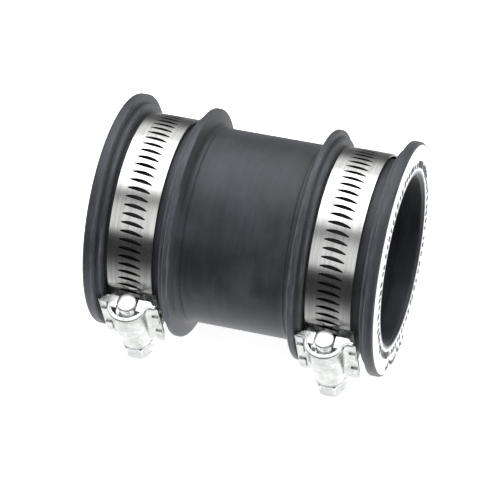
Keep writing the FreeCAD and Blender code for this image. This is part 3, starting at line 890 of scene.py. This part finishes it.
class CouplingSleeve(bpy.types.Operator):
    """Turn the rubber sleeve: flanges, ribs, seats, body and bore in one surface"""

    bl_idname = "coupling.sleeve"
    bl_label = "Rubber sleeve"

    def execute(self, context):
        s = context.scene.coupling_sleeve
        line, wear_and_highlight = sleeve_line(s)
        points = lathe(line, SLEEVE_SEGMENTS)
        faces = grid_faces(SLEEVE_SEGMENTS, len(line))
        piece = mesh_object("sleeve_moulding", points, faces, moulded_epdm(s))
        face_outwards(piece)
        # pale edge weight per point: scuffing and a painted highlight on the convex edges
        layer = piece.data.attributes.new("edge_wear", "FLOAT", "POINT")
        layer.data.foreach_set("value", np.tile(wear_and_highlight, SLEEVE_SEGMENTS).astype(np.float32))
        smooth_by_angle(piece, 50.0)
        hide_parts("rubber_sleeve")
        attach(piece, "sleeve")
        return {"FINISHED"}


class CouplingEndPrint(bpy.types.Operator):
    """Print the white ring on both end faces and stand the moulded marks in it"""

    bl_idname = "coupling.end_print"
    bl_label = "End face print"

    def execute(self, context):
        s = context.scene.coupling_sleeve
        ink = end_face_ink(s)
        rubber = bpy.data.materials["epdm_rubber_moulded"]
        for end, side in ENDS.items():
            line = ink_line(s, side)
            faces = grid_faces(INK_SEGMENTS, len(line))
            ring = mesh_object("end_ink_" + end, lathe(line, INK_SEGMENTS), faces, ink)
            marks = mesh_object("end_marks_" + end, *face_marks(s, side), rubber)
            for piece in (ring, marks):
                face_outwards(piece)
                smooth_by_angle(piece, 30.0)
                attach(piece, "sleeve")
        return {"FINISHED"}


class CouplingBands(bpy.types.Operator):
    """Finish both perforated bands: merged surface, radial shading normals, steel strip"""

    bl_idname = "coupling.bands"
    bl_label = "Clamp bands"

    def execute(self, context):
        c = context.scene.coupling_clamps
        material = rolled_stainless(c)
        slot_shade = shaded_slot_stainless()
        for end in ENDS:
            node = "clamp_band_" + end
            piece = merged_copy(node, "band_strip_" + end, material)
            # second material: near-black slot walls, painted shade inside the slots
            piece.data.materials.append(slot_shade)
            strip_normals(piece)
            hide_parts(node)
            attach(piece, "band_" + end)
        return {"FINISHED"}


class CouplingHousings(bpy.types.Operator):
    """Finish both housings and their saddles: rounded sheet edges, pressed steel"""

    bl_idname = "coupling.housings"
    bl_label = "Housings and saddles"

    def execute(self, context):
        c = context.scene.coupling_clamps
        material = pressed_stainless(c)
        for end in ENDS:
            for node, name, slot in (
                ("clamp_housing_" + end, "housing_pressing_" + end, "housing_steel"),
                ("clamp_saddle_" + end, "saddle_pressing_" + end, "saddle_steel"),
            ):
                piece = merged_copy(node, name, material)
                round_edges(piece, c.edge_round)
                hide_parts(node)
                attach(piece, "clamp_" + end)
            points, faces = mouth_lip(c, getattr(c, "clamp_" + end), getattr(c, "drop_" + end))
            lip = mesh_object("mouth_lip_" + end, points, faces, material)
            face_outwards(lip)
            smooth_by_angle(lip, 50.0)
            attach(lip, "clamp_" + end)
        return {"FINISHED"}


class CouplingScrews(bpy.types.Operator):
    """Finish both worm screws: merged surface, plated steel, and a swaged tip"""

    bl_idname = "coupling.screws"
    bl_label = "Worm screws"

    def execute(self, context):
        c = context.scene.coupling_clamps
        material = plated_steel(c)
        for end in ENDS:
            node = "clamp_screw_" + end
            piece = merged_copy(node, "worm_screw_" + end, material, 18.0)
            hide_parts(node)
            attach(piece, "screw_" + end)
            shape = screw_tip(c, getattr(c, "clamp_" + end), getattr(c, "drop_" + end))
            tip = mesh_object("screw_tip_" + end, *shape, material)
            face_outwards(tip)
            smooth_by_angle(tip, 60.0)
            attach(tip, "screw_" + end)
        return {"FINISHED"}


# brightness of the studio by the turn of a direction about the pipe axis, in degrees:
# 0 is level in front, 90 straight up, 180 level behind and -90 straight down
STUDIO_GLOW = (
    (-180, 0.10), (-168, 0.14), (-160, 0.30), (-150, 0.60),               # floor behind the table
    (-140, 1.45), (-112, 1.45), (-100, 1.25), (-66, 1.25), (-54, 0.62),   # lit table
    (-40, 0.40), (-30, 0.17), (-20, 0.05), (4, 0.03), (9, 0.06),          # dark room in front
    (16, 0.95), (32, 0.88), (42, 0.72),                                   # low panel in front
    (50, 0.28), (57, 0.30),                                               # gap above the panel
    (63, 1.20), (128, 1.25),                                              # overhead dome
    (132, 0.95), (144, 1.0), (152, 0.80), (160, 0.36), (169, 0.12), (180, 0.08),   # back wall
)


def studio_world(scene):
    """Studio surroundings: a bright dome overhead, a low panel in front and a lit table.

    The camera itself sees plain white.
    """
    world = bpy.data.worlds.new("studio")
    scene.world = world
    world.use_nodes = True
    tree = world.node_tree
    tree.nodes.clear()
    direction = add_node(tree, "ShaderNodeTexCoord", output="Generated")
    parts = add_node(tree, "ShaderNodeSeparateXYZ", {"Vector": direction}).node.outputs
    front = add_node(tree, MATH, {0: parts["Y"], 1: -1.0}, operation="MULTIPLY")
    turn = add_node(tree, MATH, {0: parts["Z"], 1: front}, operation="ARCTAN2")
    turns = add_node(tree, MATH, {0: turn, 1: 2.0 * math.pi}, operation="DIVIDE")
    place = add_node(tree, MATH, {0: turns, 1: 0.5}, operation="ADD")
    stops = [((angle + 180) / 360.0, grey) for angle, grey in STUDIO_GLOW]
    level = add_node(tree, RAMP, {"Fac": place}, stops=stops)
    light = add_node(tree, "ShaderNodeBackground", {"Color": level})
    plain = add_node(tree, "ShaderNodeBackground", {"Color": linear("#ffffff")})
    seen = add_node(tree, "ShaderNodeLightPath", output="Is Camera Ray")
    both = add_node(tree, "ShaderNodeMixShader", {0: seen, 1: light, 2: plain})
    add_node(tree, "ShaderNodeOutputWorld", {"Surface": both})


def soft_light(name, place, width, height, power):
    """Rectangular soft box at place, facing the middle of the bore."""
    data = bpy.data.lights.new(name, "AREA")
    data.shape = "RECTANGLE"
    data.size = width
    data.size_y = height
    data.energy = power
    lamp = bpy.data.objects.new(name, data)
    lamp.location = place
    lamp.rotation_euler = (-Vector(place)).to_track_quat("-Z", "Y").to_euler()
    bpy.context.scene.collection.objects.link(lamp)


TABLE_REACH = 4.0
TABLE_GAP = 0.05 * MM         # keeps the flanges from lying in the table's surface
SOFT_BOX_PLACE = (-0.15, 0.25, 1.1)
SOFT_BOX_WIDTH, SOFT_BOX_HEIGHT = 1.6, 1.1
SOFT_BOX_POWER = 9.5


class CouplingStage(bpy.types.Operator):
    """Lay the lit table, hang the soft box and set the camera"""

    bl_idname = "coupling.stage"
    bl_label = "Floor, lights and camera"

    def execute(self, context):
        scene = context.scene
        s = scene.coupling_stage
        sleeve = scene.coupling_sleeve
        reach = TABLE_REACH
        level = -sleeve.flange_radius - TABLE_GAP
        corners = np.array([
            (-reach, -reach, level), (reach, -reach, level),
            (reach, reach, level), (-reach, reach, level)])
        floor = mesh_object("acrylic_floor", corners, [(0, 1, 2, 3)], lit_acrylic(s))
        floor.visible_glossy = False
        studio_world(scene)
        soft_light(
            "key_soft_box", SOFT_BOX_PLACE, SOFT_BOX_WIDTH, SOFT_BOX_HEIGHT, SOFT_BOX_POWER)
        scene.view_settings.view_transform = "Standard"
        scene.view_settings.exposure = 0.0

        a, e = s.azimuth, s.elevation
        right = Vector((math.cos(a), math.sin(a), 0.0))
        ahead = Vector((-math.sin(a) * math.cos(e), math.cos(a) * math.cos(e), -math.sin(e)))
        up = right.cross(ahead)
        cos, sin = math.cos(s.roll), math.sin(s.roll)
        right, up = right * cos + up * sin, up * cos - right * sin
        data = bpy.data.cameras.new("camera")
        data.sensor_width = 36.0
        data.lens = s.lens
        camera = bpy.data.objects.new("camera", data)
        place = -(right * s.offset_left + up * s.offset_down + ahead * s.distance)
        turn = Matrix((right, up, -ahead)).transposed().to_4x4()
        camera.matrix_world = Matrix.Translation(place) @ turn
        data.clip_start, data.clip_end = 0.01, 20.0
        scene.collection.objects.link(camera)
        scene.camera = camera
        return {"FINISHED"}


class CouplingPanel(bpy.types.Panel):
    """Buttons that build the coupling, in order"""

    bl_idname = "VIEW3D_PT_coupling"
    bl_label = "Pipe coupling"
    bl_space_type = "VIEW_3D"
    bl_region_type = "UI"
    bl_category = "Coupling"

    def draw(self, context):
        for operator in OPERATORS:
            self.layout.operator(operator.bl_idname)
        for group in ("coupling_sleeve", "coupling_clamps", "coupling_stage"):
            settings = getattr(context.scene, group)
            box = self.layout.box()
            for name in settings.__annotations__:
                box.prop(settings, name)


OPERATORS = (
    CouplingSleeve, CouplingEndPrint, CouplingBands,
    CouplingHousings, CouplingScrews, CouplingStage,
)
SETTINGS = {
    "coupling_sleeve": CouplingSleeveSettings,
    "coupling_clamps": CouplingClampSettings,
    "coupling_stage": CouplingStageSettings,
}


def register():
    for cls in (*SETTINGS.values(), *OPERATORS, CouplingPanel):
        bpy.utils.register_class(cls)
    for name, cls in SETTINGS.items():
        setattr(bpy.types.Scene, name, PointerProperty(type=cls))


def unregister():
    for name in SETTINGS:
        delattr(bpy.types.Scene, name)
    for cls in (CouplingPanel, *reversed(OPERATORS), *SETTINGS.values()):
        bpy.utils.unregister_class(cls)


def main():
    register()
    bpy.ops.coupling.sleeve()
    bpy.ops.coupling.end_print()
    bpy.ops.coupling.bands()
    bpy.ops.coupling.housings()
    bpy.ops.coupling.screws()
    bpy.ops.coupling.stage()


if __name__ == "__main__":
    main()
